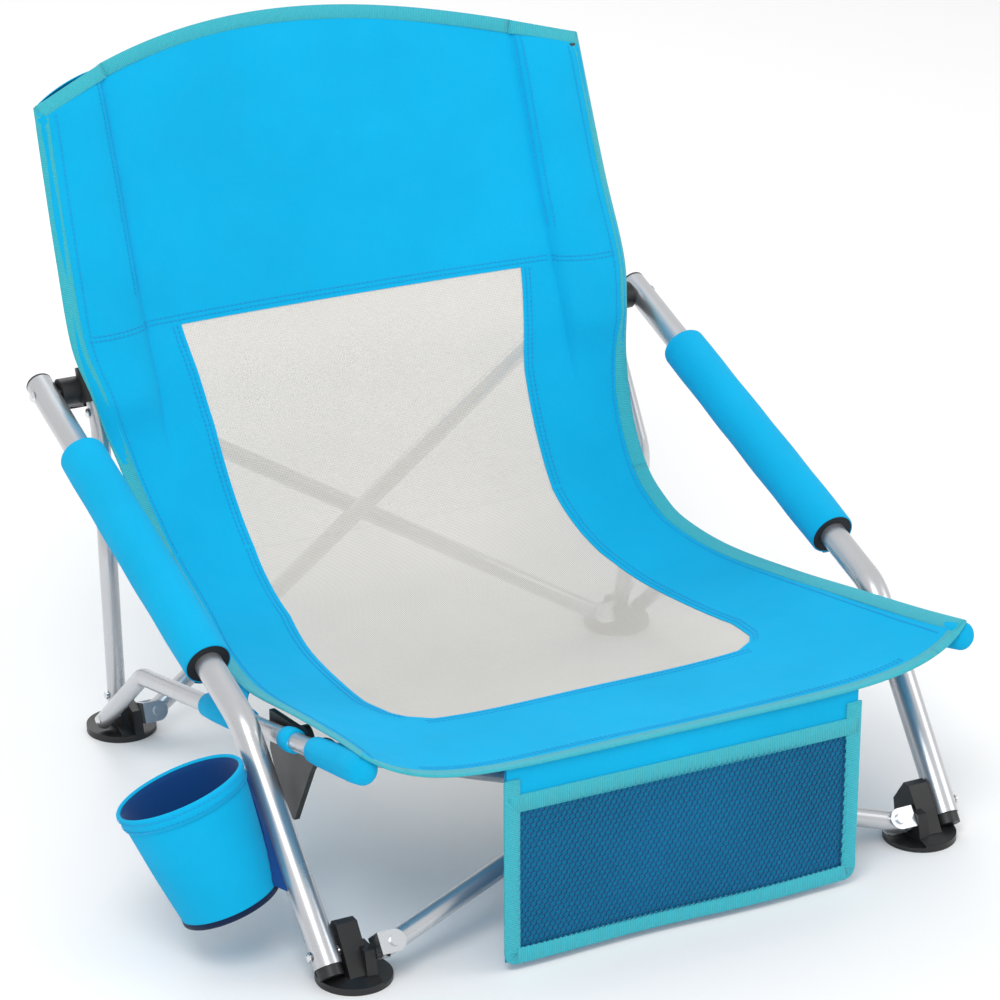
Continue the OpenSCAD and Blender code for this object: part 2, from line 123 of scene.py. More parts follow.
# ---------------------------------------------------------------- materials
class Nodes:
    """A small helper that builds a node tree for one principled material."""

    def __init__(self, name, color, rough, metal=0.0):
        self.mat = bpy.data.materials.new(name)
        self.mat.use_nodes = True
        self.tree = self.mat.node_tree
        self.bsdf = self.tree.nodes["Principled BSDF"]
        self.color, self.rough = color, rough
        self.bsdf.inputs["Base Color"].default_value = (*color, 1)
        self.bsdf.inputs["Roughness"].default_value = rough
        self.bsdf.inputs["Metallic"].default_value = metal
        self.coord = self.add("ShaderNodeTexCoord")
        self.normal = None

    def add(self, kind, **values):
        node = self.tree.nodes.new(kind)
        for key, value in values.items():
            setattr(node, key, value)
        return node

    def link(self, a, b):
        self.tree.links.new(a, b)

    def source(self, uv):
        return self.coord.outputs["UV" if uv else "Object"]

    def noise(self, scale, detail=3.0, uv=False):
        node = self.add("ShaderNodeTexNoise")
        node.inputs["Scale"].default_value = scale
        node.inputs["Detail"].default_value = detail
        self.link(self.source(uv), node.inputs["Vector"])
        return node.outputs["Fac"]

    def wave(self, scale, axis, uv=True):
        node = self.add("ShaderNodeTexWave", wave_type="BANDS", bands_direction=axis)
        node.inputs["Scale"].default_value = scale
        self.link(self.source(uv), node.inputs["Vector"])
        return node.outputs["Fac"]

    def math(self, op, a, b):
        node = self.add("ShaderNodeMath", operation=op)
        for socket, value in zip(node.inputs, (a, b)):
            if isinstance(value, (int, float)):
                socket.default_value = value
            else:
                self.link(value, socket)
        return node.outputs[0]

    def ramp(self, fac, low, high):
        node = self.add("ShaderNodeMapRange")
        self.link(fac, node.inputs["Value"])
        node.inputs["From Min"].default_value = 0.3
        node.inputs["From Max"].default_value = 0.7
        node.inputs["To Min"].default_value = low
        node.inputs["To Max"].default_value = high
        return node.outputs["Result"]

    def tint(self, fac, dark):
        """The base colour varies between the colour and a darker one."""
        node = self.add("ShaderNodeMix", data_type="RGBA")
        node.inputs["A"].default_value = (*[c * dark for c in self.color], 1)
        node.inputs["B"].default_value = (*self.color, 1)
        self.link(fac, node.inputs["Factor"])
        self.link(node.outputs["Result"], self.bsdf.inputs["Base Color"])

    def roughen(self, fac, spread):
        self.link(self.ramp(fac, self.rough - spread, self.rough + spread), self.bsdf.inputs["Roughness"])

    def bump(self, height, strength, distance):
        node = self.add("ShaderNodeBump")
        node.inputs["Strength"].default_value = strength
        node.inputs["Distance"].default_value = distance
        self.link(height, node.inputs["Height"])
        if self.normal is not None:
            self.link(self.normal, node.inputs["Normal"])
        self.normal = node.outputs["Normal"]
        self.link(self.normal, self.bsdf.inputs["Normal"])


# A wave texture's bands lie this far apart at a scale of one, in metres
BAND = 2 * math.pi / 20


def weave_material(name, color, rough, pitch, dark=0.88, sheen=0.15, alpha=None):
    """A plain weave, with pitch as the distance between threads in millimetres."""
    m = Nodes(name, color, rough)
    scale = BAND * 1000 / pitch
    warp, weft = m.wave(scale, "X"), m.wave(scale, "Y")
    threads = m.math("MULTIPLY", warp, weft)
    m.bump(threads, 0.35, 0.0004)
    m.bump(m.noise(60, 4), 0.10, 0.002)
    m.tint(m.ramp(m.noise(9, 5), 0.0, 1.0), dark)
    m.roughen(m.noise(40), 0.06)
    m.bsdf.inputs["Sheen Weight"].default_value = sheen
    m.bsdf.inputs["Specular IOR Level"].default_value = 0.12
    if alpha is not None:
        holes = m.add("ShaderNodeMapRange")
        m.link(threads, holes.inputs["Value"])
        holes.inputs["To Min"].default_value = alpha[1]
        holes.inputs["To Max"].default_value = alpha[0]
        m.link(holes.outputs["Result"], m.bsdf.inputs["Alpha"])
    return m.mat


def ribbed_material(name, color, pitch):
    m = Nodes(name, color, 0.7)
    ribs = m.wave(BAND * 1000 / pitch, "X")
    m.bump(ribs, 0.7, 0.0007)
    # painted shade: the base colour darkens in the rib grooves, where the bump sinks, mixed with random tone
    # variation
    m.tint(m.math("ADD", m.math("MULTIPLY", ribs, 0.6), m.math("MULTIPLY", m.noise(300), 0.4)), 0.62)
    m.bsdf.inputs["Sheen Weight"].default_value = 0.1
    return m.mat


def plastic_material(name, color, rough, grain=900):
    m = Nodes(name, color, rough)
    m.bump(m.noise(grain, 2), 0.25, 0.0003)
    m.tint(m.noise(30), 0.7)
    m.roughen(m.noise(25), 0.08)
    return m.mat


def metal_material(name, color, rough, metal=1.0, coat=0.0):
    m = Nodes(name, color, rough, metal)
    m.tint(m.noise(14, 4), 0.9)
    m.roughen(m.noise(22, 5), 0.05)
    m.bump(m.noise(500, 2), 0.06, 0.0002)
    m.bsdf.inputs["Coat Weight"].default_value = coat
    m.bsdf.inputs["Coat Roughness"].default_value = 0.2
    return m.mat


SKY = (0.002, 0.43, 0.76)
TEAL = (0.035, 0.56, 0.68)
MATS = {
    "fabric": weave_material("sky_polyester", SKY, 0.8, 1.1, 0.9, 0.02),
    "binding": ribbed_material("teal_grosgrain", TEAL, 1.6),
    "mesh": weave_material("beige_mesh", (0.70, 0.67, 0.62), 0.8, 1.5, 0.95, 0.0, (0.97, 0.45)),
    "net": weave_material("net_cord", (0.005, 0.10, 0.26), 0.6, 0.8, 0.7),
    "backing": weave_material("pocket_backing", (0.01, 0.30, 0.56), 0.75, 1.1),
    "lining": weave_material("navy_lining", (0.003, 0.06, 0.24), 0.6, 1.0),
    "strap": weave_material("navy_webbing", (0.004, 0.018, 0.07), 0.75, 1.6, 0.7),
    "stitch": weave_material("stitch_thread", (0.012, 0.36, 0.74), 0.6, 0.6),
    "tube": metal_material("silver_tube", (0.60, 0.61, 0.63), 0.30, 0.85, 0.25),
    "zinc": metal_material("bright_zinc", (0.72, 0.75, 0.78), 0.28),
    "screws": metal_material("screw_plate", (0.80, 0.81, 0.82), 0.2),
    "black_plastic": plastic_material("black_plastic", (0.012, 0.012, 0.013), 0.42),
    "foam": plastic_material("black_foam", (0.014, 0.016, 0.02), 0.9, 2500),
}

for row in frame["record"]["subparts"]:
    name, slot_name = row["node"], row["material_slot"]
    node = frame["nodes"][name]
    mat = MATS["strap" if slot_name == "strap" else slot_name]
    node.data.materials.clear()
    node.data.materials.append(mat)
    for poly in node.data.polygons:
        poly.material_index = 0


# ---------------------------------------------------------------- mesh helpers
def new_object(name, verts, faces, mat, uvs=None, smooth=True):
    """verts are in design millimetres; uvs, one for each vertex, are in metres."""
    mesh = bpy.data.meshes.new(name)
    mesh.from_pydata([tuple(v) for v in place(np.asarray(verts))], [], [tuple(f) for f in faces])
    mesh.materials.append(MATS[mat])
    layer = mesh.uv_layers.new(name="UVMap")
    if uvs is None:
        uvs = np.asarray(verts, float)[:, :2] / 1000
    uvs = np.asarray(uvs, float)
    for loop in mesh.loops:
        layer.data[loop.index].uv = uvs[loop.vertex_index]
    if smooth:
        for poly in mesh.polygons:
            poly.use_smooth = True
    mesh.update()
    obj = bpy.data.objects.new(name, mesh)
    scene.collection.objects.link(obj)
    return obj


def grid_faces(rows, cols, wrap=False):
    faces = []
    for r in range(rows - 1):
        for c in range(cols if wrap else cols - 1):
            d = (c + 1) % cols
            faces.append((r * cols + c, r * cols + d, (r + 1) * cols + d, (r + 1) * cols + c))
    return faces


def grid_normals(points):
    dr = np.gradient(points, axis=0)
    dc = np.gradient(points, axis=1)
    n = np.cross(dr, dc)
    return n / np.maximum(np.linalg.norm(n, axis=2, keepdims=True), 1e-9)


def cloth(name, points, uv, mat, thick=1.1):
    """A thin closed sheet from a grid of points: two faces and a rim."""
    rows, cols = points.shape[:2]
    n = grid_normals(points) * thick / 2
    top, low = (points + n).reshape(-1, 3), (points - n).reshape(-1, 3)
    faces = grid_faces(rows, cols)
    count = rows * cols
    under = [tuple(count + i for i in reversed(f)) for f in faces]
    ring = list(range(cols)) + [r * cols + cols - 1 for r in range(1, rows)]
    ring += [(rows - 1) * cols + c for c in range(cols - 2, -1, -1)]
    ring += [r * cols for r in range(rows - 2, 0, -1)]
    rim = []
    flat = uv.reshape(-1, 2)
    around = len(ring)
    for i in range(around):
        j = (i + 1) % around
        rim.append(tuple(2 * count + q for q in (j, i, i + around, j + around)))
    verts = np.vstack([top, low, top[ring], low[ring]])
    return new_object(name, verts, faces + under + rim, mat, np.vstack([flat, flat, flat[ring], flat[ring]]))


def tube(name, path, radius, mat, sides=16, caps=True, flat=1.0, uv_turn=0.0):
    """A tube along path; radius is a number or one for each point."""
    path = np.asarray(path, float)
    radii = np.broadcast_to(np.asarray(radius, float), (len(path),))
    tangent = np.gradient(path, axis=0)
    verts, uvs = [], []
    side = None
    run = 0.0
    for i, p in enumerate(path):
        t = unit(tangent[i])
        if side is None:
            side = unit(np.cross(t, [0, 0, 1] if abs(t[2]) < 0.9 else [0, 1, 0]))
        side = unit(side - t * np.dot(side, t))
        up = np.cross(t, side)
        if i:
            run += np.linalg.norm(p - path[i - 1])
        for k in range(sides):
            a = 2 * math.pi * k / sides
            verts.append(p + radii[i] * (math.cos(a) * side + flat * math.sin(a) * up))
            uvs.append((run / 1000, radii[i] * a / 1000 + uv_turn))
    faces = grid_faces(len(path), sides, wrap=True)
    if caps:
        faces.append(tuple(reversed(range(sides))))
        faces.append(tuple((len(path) - 1) * sides + k for k in range(sides)))
    return new_object(name, verts, faces, mat, uvs)


def tape(name, edge, inward, normal, mat="binding", width=12.0, thick=2.6, closed=False):
    """A folded tape that wraps an edge: inward points into the cloth, and normal out of it."""
    edge, inward, normal = (np.asarray(x, float) for x in (edge, inward, normal))
    section = [(-0.9, 0.0), (-0.55, 0.42), (0.2, 0.5), (width - 0.6, 0.5), (width, 0.2),
               (width, -0.2), (width - 0.6, -0.5), (0.2, -0.5), (-0.55, -0.42)]
    verts, uvs, run = [], [], 0.0
    for i in range(len(edge)):
        if i:
            run += np.linalg.norm(edge[i] - edge[i - 1])
        for k, (a, b) in enumerate(section):
            verts.append(edge[i] + inward[i] * a + normal[i] * b * thick)
            uvs.append((run / 1000, (a + b) / 1000))
    cols = len(section)
    faces = grid_faces(len(edge), cols, wrap=True)
    if closed:
        last = (len(edge) - 1) * cols
        faces += [(last + c, last + (c + 1) % cols, (c + 1) % cols, c) for c in range(cols)]
    else:
        faces.append(tuple(reversed(range(cols))))
        faces.append(tuple((len(edge) - 1) * cols + c for c in range(cols)))
    return new_object(name, verts, faces, mat, uvs)


def stitches(name, lines, mat="stitch", pitch=4.2, length=2.9, size=0.45, lift=0.75):
    """Small raised dashes along lines; each line is (points, normals)."""
    verts, faces = [], []
    for points, normals in lines:
        points, normals = np.asarray(points, float), np.asarray(normals, float)
        seg = np.linalg.norm(np.diff(points, axis=0), axis=1)
        run = np.concatenate([[0], np.cumsum(seg)])
        for start in np.arange(0.6, run[-1] - length, pitch):
            ends = []
            for at in (start, start + length / 2, start + length):
                p = np.array([np.interp(at, run, points[:, k]) for k in range(3)])
                n = unit([np.interp(at, run, normals[:, k]) for k in range(3)])
                ends.append((p, n))
            t = unit(ends[2][0] - ends[0][0])
            base = len(verts)
            for i, (p, n) in enumerate(ends):
                w = np.cross(t, n) * size
                rise = lift + (size * 0.8 if i == 1 else 0.0)
                for a, b in ((-1, 0), (0, 1), (1, 0)):
                    verts.append(p + n * (rise + b * size * 0.8) + w * a)
            for i in range(2):
                for k in range(3):
                    d = (k + 1) % 3
                    at = base + 3 * i
                    faces.append((at + k, at + d, at + 3 + d, at + 3 + k))
            faces.append((base + 2, base + 1, base))
            faces.append((base + 6, base + 7, base + 8))
    return new_object(name, verts, faces, mat, smooth=False)


def smooth_curve(keys, count):
    """A Catmull-Rom run through keys, with count points spaced evenly along the keys."""
    keys = np.asarray(keys, float)
    padded = np.vstack([2 * keys[0] - keys[1], keys, 2 * keys[-1] - keys[-2]])
    out = []
    for t in np.linspace(0, len(keys) - 1, count):
        i = min(int(t), len(keys) - 2)
        f = t - i
        a, b, c, d = padded[i:i + 4]
        square = (2 * a - 5 * b + 4 * c - d) * f ** 2
        cube = (3 * b - a - 3 * c + d) * f ** 3
        out.append(0.5 * (2 * b + (c - a) * f + square + cube))
    return np.array(out)


# ---------------------------------------------------------------- the sling's surface
# From the headrest's top to the seat's front: edge back and up, half width, middle back and up,
# and how sharply the sheet turns from its edge into its middle, for back and for up.
STATIONS = [
    (260, 537, 261, 281, 588, 2.0, 2.0),
    (237, 478, 263, 247, 508, 2.2, 2.2),
    (211, 415, 265, 217, 427, 2.5, 2.5),
    (179, 349, 267, 184, 352, 2.5, 2.5),
    (158, 310, 259, 165, 310, 3.0, 3.0),
    (142, 270, 250, 150, 266, 3.0, 3.0),
    (110, 222, 240, 122, 214, 3.0, 3.0),
    (72, 187, 234, 87, 173, 3.0, 3.0),
    (35, 170, 232, 48, 150, 3.0, 3.0),
    (0, 160, 234, 4, 139, 3.0, 3.0),
    (-60, 155, 244, -58, 132, 3.2, 3.2),
    (-150, 163, 257, -150, 137, 3.4, 3.4),
    (-250, 182, 260, -250, 150, 4.0, 4.0),
    (-330, 197, 263, -332, 164, 5.0, 5.0),
    (-388, 208, 268, -399, 175, 14.0, 6.0),
]
SPLIT_KEY = 7.0
SEAM_KEY = 3.0
WINDOW_END_KEY = 12.0
ROWS_PER_KEY = 8
STRIP_X = 197.0
TOP_SKEW = 0.06
WINDOW_HALF = [(0, 165), (3.0, 165), (5.0, 151), (7.0, 145), (9.0, 149), (10.5, 162), (11.4, 170),
               (11.75, 165), (11.92, 155), (12.0, 140)]
KEY_LAST = len(STATIONS) - 1
curve = smooth_curve(STATIONS, KEY_LAST * ROWS_PER_KEY + 1)
keys_at = np.linspace(0, KEY_LAST, len(curve))


def station(key):
    return np.array([np.interp(key, keys_at, curve[:, i]) for i in range(7)])


def bulge(x, half, key):
    """The sleeve over the post stands forward of the sheet near its edges."""
    amount = 14.0 * np.clip((5.6 - key) / 1.4, 0, 1) * np.clip(0.3 + 2.4 * key, 0, 1)
    inner = STRIP_X
    t = np.clip((half - abs(x)) / (half - inner), 0, 1)
    return amount * math.sqrt(max(math.sin(math.pi * t), 0.0)) if amount else 0.0


def wrinkle(x, run):
    """Slow waves that a stretched cloth shows, in millimetres."""
    return 0.7 * math.sin(x / 37 + 1.3 * math.sin(run / 61)) * math.sin(run / 53 + x / 140)


def sling_point(x, key):
    ey, ez, half, cy, cz, py, pz = station(key)
    u = min(abs(x) / half, 1.0)
    y = cy + (ey - cy) * u ** py
    z = cz + (ez - cz) * u ** pz
    y -= bulge(x, half, key)
    if key < SEAM_KEY:
        # the top of the cloth hangs a little lower on its right side
        z -= TOP_SKEW * x * (1 - u * u) * (1 - key / SEAM_KEY)
    return np.array([x, y, z])


run_at = np.concatenate([[0], np.cumsum(np.linalg.norm(np.diff(curve[:, 3:5], axis=0), axis=1))])


def run_of(key):
    return np.interp(key, keys_at, run_at)


def patch(name, keys, columns, mat, thick=1.1, lift=0.0):
    """columns gives the x places at a key. Returns the object and its grid of points."""
    points = np.array([[sling_point(x, k) for x in columns(k)] for k in keys])
    normals = grid_normals(points)
    if normals[len(keys) // 2, points.shape[1] // 2] @ np.array([0, -0.7, 0.7]) < 0:
        normals = -normals
    for r, k in enumerate(keys):
        for c in range(points.shape[1]):
            points[r, c] += normals[r, c] * (wrinkle(points[r, c, 0], run_of(k)) * 0.8 + lift)
    uv = np.array([[(p[0] / 1000, run_of(k) / 1000) for p in row] for row, k in zip(points, keys)])
    obj = cloth(name, points, uv, mat, thick)
    return obj, points


def window_half(key):
    return np.interp(key, [k for k, _ in WINDOW_HALF], [w for _, w in WINDOW_HALF])


def strip_inner(key):
    half = station(key)[2]
    return STRIP_X if key <= SPLIT_KEY else half - 32


def even(a, b, count):
    return np.linspace(a, b, count)


def keys_between(a, b, step=0.125):
    return np.linspace(a, b, max(2, int(round((b - a) / step)) + 1))


def close_up(obj):
    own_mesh(obj)


seat_inner = 222.0
FRONT_X = 236

# Headrest, which is one cloth from sleeve to sleeve above the seam
headrest, headrest_pts = patch("headrest_panel", keys_between(0, SEAM_KEY),
                               lambda k: even(-STRIP_X, STRIP_X, 60), "fabric")
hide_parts("back_sling")
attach(headrest, "left_post")
close_up(headrest)

for side, body in ((-1, "left"), (1, "right")):
    # the side cloth between the sleeve and the mesh, on the back
    obj, pts = patch(f"{body}_back_side", keys_between(SEAM_KEY, SPLIT_KEY),
                     lambda k, s=side: even(s * STRIP_X, s * window_half(k), 14)[::s], "fabric")
    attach(obj, "left_post")
    close_up(obj)
    obj, pts = patch(f"{body}_back_sleeve", keys_between(0, SPLIT_KEY),
                     lambda k, s=side: even(s * STRIP_X, s * (station(k)[2] - 0.01), 16)[::s], "fabric")
    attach(obj, f"{body}_post")
    obj, pts = patch(f"{body}_seat_side", keys_between(SPLIT_KEY, WINDOW_END_KEY),
                     lambda k, s=side: even(s * strip_inner(k + 0.001), s * window_half(k), 16)[::s],
                     "fabric")
    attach(obj, "left_rail")
    close_up(obj)
    obj, pts = patch(f"{body}_seat_edge", keys_between(SPLIT_KEY, KEY_LAST),
                     lambda k, s=side: even(s * strip_inner(k + 0.001), s * (station(k)[2] - 0.01), 12)[::s],
                     "fabric")
    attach(obj, f"{body}_rail")
    if side == -1:
        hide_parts("seat_sling")

back_window, pts = patch("back_mesh", keys_between(SEAM_KEY, SPLIT_KEY),
                         lambda k: even(-window_half(k) - 1, window_half(k) + 1, 40), "mesh", 0.5, -0.6)
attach(back_window, "left_post")
close_up(back_window)
seat_window, pts = patch("seat_mesh", keys_between(SPLIT_KEY, WINDOW_END_KEY),
                         lambda k: even(-window_half(k) - 1, window_half(k) + 1, 40), "mesh", 0.5, -0.6)
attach(seat_window, "left_rail")
close_up(seat_window)
front_band, pts = patch("seat_front_band", keys_between(WINDOW_END_KEY, KEY_LAST),
                        lambda k: even(-strip_inner(k), strip_inner(k), 70), "fabric")
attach(front_band, "left_rail")
close_up(front_band)


# ---------------------------------------------------------------- tapes round the sling's edge
def edge_frames(points_fn, params, inner_fn):
    """Points along an edge, with the directions into the cloth and out of it."""
    edge = np.array([points_fn(t) for t in params])
    inner = np.array([inner_fn(t) for t in params])
    inward = np.array([unit(b - a) for a, b in zip(edge, inner)])
    tangent = np.gradient(edge, axis=0)
    normal = np.array([unit(np.cross(t, i)) for t, i in zip(tangent, inward)])
    inward = np.array([unit(np.cross(n, t)) for n, t in zip(normal, tangent)])
    for i in range(len(edge)):
        if inward[i] @ (inner[i] - edge[i]) < 0:
            inward[i] = -inward[i]
    return edge, inward, normal


for side, body in ((-1, "left"), (1, "right")):
    for part, (a, b), carrier in (("back", (0, SPLIT_KEY), "post"), ("seat", (SPLIT_KEY, KEY_LAST), "rail")):
        def at_edge(k, s=side):
            return sling_point(s * (station(k)[2] - 0.01), k)

        def at_inner(k, s=side):
            return sling_point(s * (station(k)[2] - 9), k)
        e, i, n = edge_frames(at_edge, keys_between(a, b, 0.1), at_inner)
        obj = tape(f"{body}_{part}_binding", e, i, n)
        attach(obj, f"{body}_{carrier}")
    # the sleeve's own stretch of the top edge, and the seat's own stretch of the front edge
    for part, key, off, carrier, inner in (("top", 0.0, 0.12, "post", STRIP_X),
                                           ("front", KEY_LAST, -0.1, "rail", FRONT_X)):
        e, i, n = edge_frames(lambda x, k=key: sling_point(x, k),
                              side * even(inner, station(key)[2] - 0.5, 18),
                              lambda x, k=key + off: sling_point(x * 0.999, k))
        obj = tape(f"{body}_{part}_binding", e, i, n)
        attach(obj, f"{body}_{carrier}")

e, i, n = edge_frames(lambda x: sling_point(x, 0.0), even(-STRIP_X, STRIP_X, 70),
                      lambda x: sling_point(x, 0.12))
obj = tape("top_binding", e, i, n)
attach(obj, "left_post")
close_up(obj)
e, i, n = edge_frames(lambda x: sling_point(x, KEY_LAST), even(-FRONT_X, FRONT_X, 80),
                      lambda x: sling_point(x, KEY_LAST - 0.1))
obj = tape("front_binding", e, i, n)
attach(obj, "left_rail")
close_up(obj)


# ---------------------------------------------------------------- stitch lines
def surface_line(points):
    """points are (x, key) pairs; gives the line and its normals."""
    line, normals = [], []
    for x, k in points:
        p = sling_point(x, k)
        a = sling_point(x + 1.0, k) - sling_point(x - 1.0, k)
        b = sling_point(x, min(k + 0.02, KEY_LAST)) - sling_point(x, max(k - 0.02, 0))
        n = unit(np.cross(a, b))
        if n @ np.array([0, -0.7, 0.7]) < 0:
            n = -n
        run = run_of(k)
        line.append(p + n * wrinkle(x, run) * 0.8)
        normals.append(n)
    return np.array(line), np.array(normals)


def along(x_of, a, b, count=60):
    return surface_line([(x_of(k), k) for k in even(a, b, count)])


def across(key, a, b, count=60):
    return surface_line([(x, key) for x in even(a, b, count)])


back_lines = [across(SEAM_KEY - 0.06, -STRIP_X, STRIP_X), across(SEAM_KEY - 0.12, -STRIP_X, STRIP_X)]
seat_lines = []
for s in (-1, 1):
    for gap in (4, 8):
        back_lines.append(along(lambda k, s=s, g=gap: s * (window_half(k) + g), SEAM_KEY, SPLIT_KEY))
        seat_lines.append(along(lambda k, s=s, g=gap: s * (window_half(k) + g),
                                SPLIT_KEY, WINDOW_END_KEY - 0.1))
for gap in (0.05, 0.11):
    seat_lines.append(across(WINDOW_END_KEY + gap, -150, 150))
    seat_lines.append(across(KEY_LAST - 0.22 - gap, -seat_inner + 6, seat_inner - 6))
obj = stitches("back_stitching", back_lines)
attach(obj, "left_post")
close_up(obj)
obj = stitches("seat_stitching", seat_lines)
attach(obj, "left_rail")
close_up(obj)
for side, body in ((-1, "left"), (1, "right")):
    lines = [along(lambda k, s=side, g=g: s * (STRIP_X + g), 0.15, 2.55) for g in (1.5, 6.5)]
    lines += [across(SEAM_KEY - up, side * STRIP_X, side * 254, 20) for up in (0.06, 0.12)]
    lines += [along(lambda k, s=side: s * (station(k)[2] - 15), 0.2, SPLIT_KEY)]
    obj = stitches(f"{body}_sleeve_stitching", lines)
    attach(obj, f"{body}_post")
    lines = [along(lambda k, s=side: s * (station(k)[2] - 15), SPLIT_KEY, KEY_LAST - 0.3)]
    obj = stitches(f"{body}_seat_edge_stitching", lines)
    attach(obj, f"{body}_rail")

# ---------------------------------------------------------------- post sleeves, rail pockets and loops
for side, body in ((-1, "left"), (1, "right")):
    rows = []
    for k in keys_between(0.04, 3.1):
        ey, ez, half = station(k)[:3]
        row = []
        for t in even(0, 1, 18):
            x = half - 1 - (half - 1 - STRIP_X - 3) * t
            p = sling_point(side * x, k)
            p[1] += bulge(x, half, k)
            p[1] += 20 * min(0.3 + 3.5 * k, 1) * math.sqrt(max(math.sin(math.pi * t), 0)) + 1.2
            row.append(p)
        rows.append(row)
    pts = np.array(rows)
    uv = np.array([[(c * 0.004, r * 0.006) for c in range(pts.shape[1])] for r in range(pts.shape[0])])
    obj = cloth(f"{body}_post_sleeve", pts, uv, "fabric", 1.0)
    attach(obj, f"{body}_post")
    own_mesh(obj)

RAIL_BEND = np.array([266, 49, 94.0])
RAIL_HUB = np.array([266, -262, 166.0])
RAIL_DIR = unit(RAIL_HUB - RAIL_BEND)


def rail_at(side, s):
    p = RAIL_HUB + RAIL_DIR * s
    return np.array([side * p[0], p[1], p[2]])


for side, body in ((-1, "left"), (1, "right")):
    path = [rail_at(side, s) for s in (40, 41, 54, 75, 95, 115, 128, 132, 134)]
    radii = [9.6, 10.6, 11.2, 11.6, 12.0, 12.2, 11.6, 9.0, 3.0]
    obj = tube(f"{body}_rail_pocket", path, radii, "fabric", 24, True, 1.0)
    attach(obj, f"{body}_rail")
    path = [rail_at(side, s) for s in (-172, -171, -150, -125, -100, -91, -90)]
    obj = tube(f"{body}_rail_sleeve", path, [9.2, 10.4, 11.4, 11.8, 11.2, 10.2, 9.0], "fabric", 24, True, 1.0)
    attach(obj, f"{body}_rail")
    # the tongue of cloth between the rail sleeve and the seat's edge
    rows = []
    for s in even(-168, -94, 12):
        low = rail_at(side, s) + np.array([-side * 4, 0, 10])
        key = np.interp(low[1], [-150, -60, 0], [11, 10, 9])
        high = sling_point(side * (station(key)[2] - 4), key)
        rows.append([low + (high - low) * t + np.array([side * 3 * math.sin(math.pi * t), 0, 0])
                     for t in even(0, 1, 8)])
    pts = np.array(rows)
    uv = np.array([[(c * 0.003, r * 0.006) for c in range(pts.shape[1])] for r in range(pts.shape[0])])
    obj = cloth(f"{body}_rail_tongue", pts, uv, "fabric", 1.0)
    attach(obj, f"{body}_rail")
    path = [rail_at(side, s) for s in (-14, -13.4, -5, 3.4, 4)]
    obj = tube(f"{body}_rail_loop", path, [8.4, 9.6, 10.2, 9.6, 8.4], "fabric", 24, True, 1.0)
    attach(obj, f"{body}_rail")

# ---------------------------------------------------------------- storage pocket
PX0, PX1, PZ0, PZ1 = -153.0, 165.0, 7.0, 165.0
PY = -396.0


def front_edge(x):
    return sling_point(x, KEY_LAST)


def pocket_sag(x, z):
    t = (x - PX0) / (PX1 - PX0)
    s = (PZ1 - z) / (PZ1 - PZ0)
    down = max(min(s, 1), 0)
    return 3.0 * math.sin(math.pi * t) * math.sin(math.pi * down) + 1.5 * math.sin(3 * math.pi * t + 1) * down


def pocket_point(x, z, off=0.0):
    return np.array([x, PY - pocket_sag(x, z) - off, z])


def pocket_grid(name, x0, x1, z0, z1, mat, off, nx=40, nz=20, thick=1.0, top_edge=False):
    rows = []
    for r in range(nz):
        t = r / (nz - 1)
        row = []
        for x in even(x0, x1, nx):
            top = front_edge(x)[2] - 2 if top_edge else z1
            row.append(pocket_point(x, top + (z0 - top) * t, off))
        rows.append(row)
    pts = np.array(rows)
    uv = np.array([[(p[0] / 1000, p[2] / 1000) for p in row] for row in pts])
    return cloth(name, pts, uv, mat, thick), pts


def pocket_body(obj):
    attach(obj, "left_rail")
    close_up(obj)


obj, pts = pocket_grid("pocket_backing", PX0 + 1, PX1 - 1, PZ0 + 1, PZ1, "backing", -1.5, top_edge=True)
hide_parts("storage_pocket")
pocket_body(obj)
obj, pts = pocket_grid("pocket_header", PX0 + 2, PX1 - 2, 140, PZ1, "fabric", 0.0, nz=8, top_edge=True)
pocket_body(obj)


def pocket_tape(name, path, into, width, closed=False):
    e = np.array([pocket_point(x, z, 1.2) for x, z in path])
    i = np.array([unit([dx, 0, dz]) for dx, dz in into])
    n = np.array([[0, -1.0, 0]] * len(path))
    obj = tape(name, e, i, n, "binding", width, 2.4, closed)
    pocket_body(obj)
    return obj


def outline(r, count=8):
    """The pocket's left side, rounded bottom corners and right side, with the way into the pocket."""
    path, into = [], []
    for z in even(PZ1 - 1, PZ0 + r, 24):
        path.append((PX0, z))
        into.append((1, 0))
    for k in range(1, count):
        a = math.pi / 2 * k / count
        path.append((PX0 + r - r * math.cos(a), PZ0 + r - r * math.sin(a)))
        into.append((math.cos(a), math.sin(a)))
    for x in even(PX0 + r, PX1 - r, 50):
        path.append((x, PZ0))
        into.append((0, 1))
    for k in range(1, count):
        a = math.pi / 2 * (1 - k / count)
        path.append((PX1 - r + r * math.cos(a), PZ0 + r - r * math.sin(a)))
        into.append((-math.cos(a), math.sin(a)))
    for z in even(PZ0 + r, PZ1 - 1, 24):
        path.append((PX1, z))
        into.append((-1, 0))
    return path, into


path, into = outline(10)
pocket_tape("pocket_border", path, into, 13)
xs = even(PX0 + 2, PX1 - 2, 60)
pocket_tape("pocket_elastic", [(x, 150) for x in xs], [(0, -1)] * len(xs), 14)

# the knitted net: rows of hexagon cells drawn as thin cords
verts, faces = [], []
CELL_W, CELL_H, CORD = 4.8, 4.2, 0.42


def net_cord(a, b):
    base = len(verts)
    d = unit(np.array(b) - np.array(a))
    w = np.array([-d[1], d[0]]) * CORD
    for p in (a, b):
        for q, off in (((p[0] + w[0], p[1] + w[1]), 1.0), ((p[0] - w[0], p[1] - w[1]), 1.0), (p, 2.1)):
            verts.append(pocket_point(q[0], q[1], off))
    for k in range(3):
        m = (k + 1) % 3
        faces.append((base + k, base + m, base + 3 + m, base + 3 + k))


